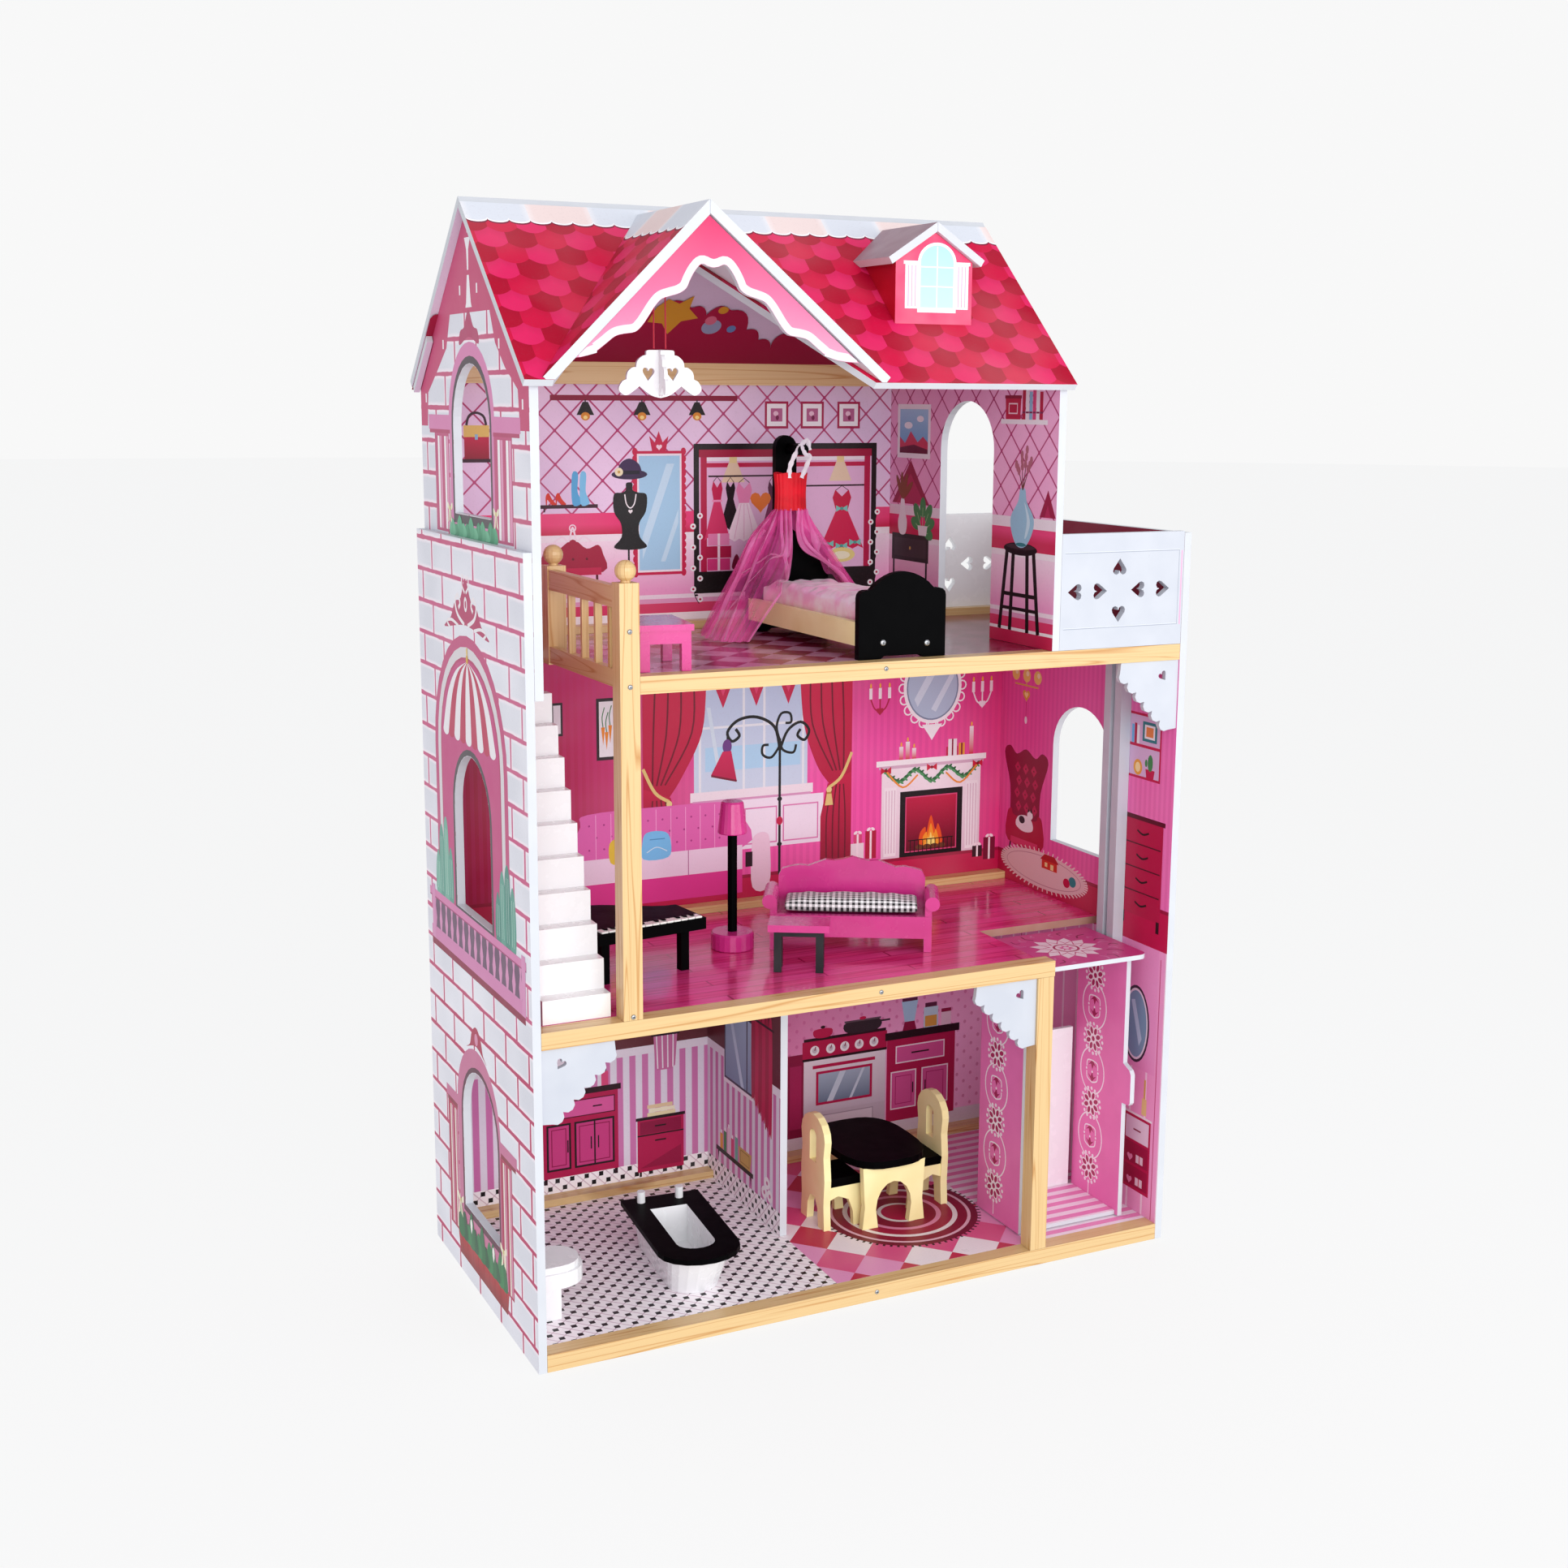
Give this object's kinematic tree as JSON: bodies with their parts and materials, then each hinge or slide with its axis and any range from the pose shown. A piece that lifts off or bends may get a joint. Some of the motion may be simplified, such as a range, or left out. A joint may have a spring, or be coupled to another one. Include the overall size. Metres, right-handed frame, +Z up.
{
  "type": "dollhouse",
  "caption": "Tall open-front wooden dollhouse with printed pitched roof, gable, dormer, balcony, sliding elevator, hanging chandelier and loose furniture.",
  "frame": {"origin": "centre of the footprint on the ground, under the middle of the bounding box", "axes": "+Z up along the height, -Y towards the open front, +X towards the balcony and elevator side"},
  "size_m": [0.785, 0.402, 1.1898],
  "materials": {
    "black": "satin black paint",
    "brick": "printed brick pattern, satin",
    "cream": "cream paint",
    "gingham": "woven gingham cloth",
    "lilac": "printed lilac wallpaper, satin",
    "magenta": "glossy magenta paint",
    "pine": "clear-lacquered pine",
    "pink": "printed pink pattern, satin",
    "red": "red satin ribbon and cord",
    "rose": "painted rose, satin",
    "satin": "pink satin cloth",
    "shingle": "printed shingles, satin",
    "tulle": "sheer pink tulle",
    "white": "satin white paint"
  },
  "bodies": {
    "house": {"back_panel_ground": "lilac", "back_panel_second": "magenta", "back_panel_third": "lilac", "balcony_front_panel": "white", "balcony_rear_panel": "white", "base_front_rail": "pine", "base_rear_rail": "pine", "bracket_kitchen": "white", "bracket_left": "white", "bracket_right": "white", "dormer_box": "red", "dormer_roof_left": "white", "dormer_roof_right": "white", "elevator_guide": "white", "gable_board": "rose", "gable_roof_left": "shingle", "gable_roof_right": "shingle", "ground_floor": "lilac", "kitchen_post": "pine", "lower_left_wall": "brick", "lower_right_wall": "white", "partition_wall": "pink", "roof_back": "shingle", "roof_front": "shingle", "second_floor": "magenta", "second_front_rail": "pine", "second_rear_rail": "pine", "stair_post": "pine", "stair_railing": "pine", "staircase": "white", "third_floor": "pink", "third_front_rail": "pine", "third_rear_rail": "pine", "top_rear_rail": "pine", "upper_left_wall": "brick", "upper_right_wall": "white"},
    "elevator": {"elevator_top": "magenta", "elevator_left_panel": "pink", "elevator_right_panel": "pink", "elevator_floor": "pink", "elevator_back_panel": "white"},
    "chandelier": {"chandelier": "white", "chandelier_cord": "red"},
    "bed": {"bed_footboard": "black", "bed_headboard": "black", "bed_frame": "cream", "bed_mattress": "satin", "canopy_collar": "red", "canopy_net": "tulle"},
    "sofa": {"sofa": "magenta"},
    "sofa_cushion": {"sofa_cushion": "gingham"},
    "side_table": {"side_table": "magenta"},
    "piano": {"piano": "black"},
    "floor_lamp": {"floor_lamp": "pink"},
    "coffee_table": {"coffee_table": "black"},
    "dining_table": {"dining_table": "black"},
    "chair_left": {"chair_left": "cream"},
    "chair_right": {"chair_right": "cream"},
    "bathtub": {"bathtub": "black"},
    "toilet": {"toilet": "white"}
  },
  "joints": [
    {"name": "elevator_slide", "type": "slide", "parent": "house", "child": "elevator", "axis": [0, 0, 1], "range_m": [0, 0.343]},
    {"name": "chandelier_swing", "type": "hinge", "parent": "house", "child": "chandelier", "pos_m": [-0.2025, -0.0704, 1.161], "axis": [0, 1, 0], "range_deg": [-15, 15]},
    {"name": "bed_lift", "type": "slide", "parent": "house", "child": "bed", "axis": [0, 0, 1], "range_m": [0, 0.05]},
    {"name": "side_table_lift", "type": "slide", "parent": "house", "child": "side_table", "axis": [0, 0, 1], "range_m": [0, 0.05]},
    {"name": "piano_lift", "type": "slide", "parent": "house", "child": "piano", "axis": [0, 0, 1], "range_m": [0, 0.05]},
    {"name": "floor_lamp_lift", "type": "slide", "parent": "house", "child": "floor_lamp", "axis": [0, 0, 1], "range_m": [0, 0.05]},
    {"name": "sofa_lift", "type": "slide", "parent": "house", "child": "sofa", "axis": [0, 0, 1], "range_m": [0, 0.05]},
    {"name": "coffee_table_lift", "type": "slide", "parent": "house", "child": "coffee_table", "axis": [0, 0, 1], "range_m": [0, 0.05]},
    {"name": "dining_table_lift", "type": "slide", "parent": "house", "child": "dining_table", "axis": [0, 0, 1], "range_m": [0, 0.05]},
    {"name": "bathtub_lift", "type": "slide", "parent": "house", "child": "bathtub", "axis": [0, 0, 1], "range_m": [0, 0.05]},
    {"name": "toilet_lift", "type": "slide", "parent": "house", "child": "toilet", "axis": [0, 0, 1], "range_m": [0, 0.05]},
    {"name": "sofa_cushion_lift", "type": "slide", "parent": "sofa", "child": "sofa_cushion", "axis": [0, 0, 1], "range_m": [0, 0.03]},
    {"name": "chair_left_pull", "type": "slide", "parent": "house", "child": "chair_left", "axis": [-1, 0, 0], "range_m": [0, 0.035]},
    {"name": "chair_right_pull", "type": "slide", "parent": "house", "child": "chair_right", "axis": [1, 0, 0], "range_m": [0, 0.025]}
  ]
}
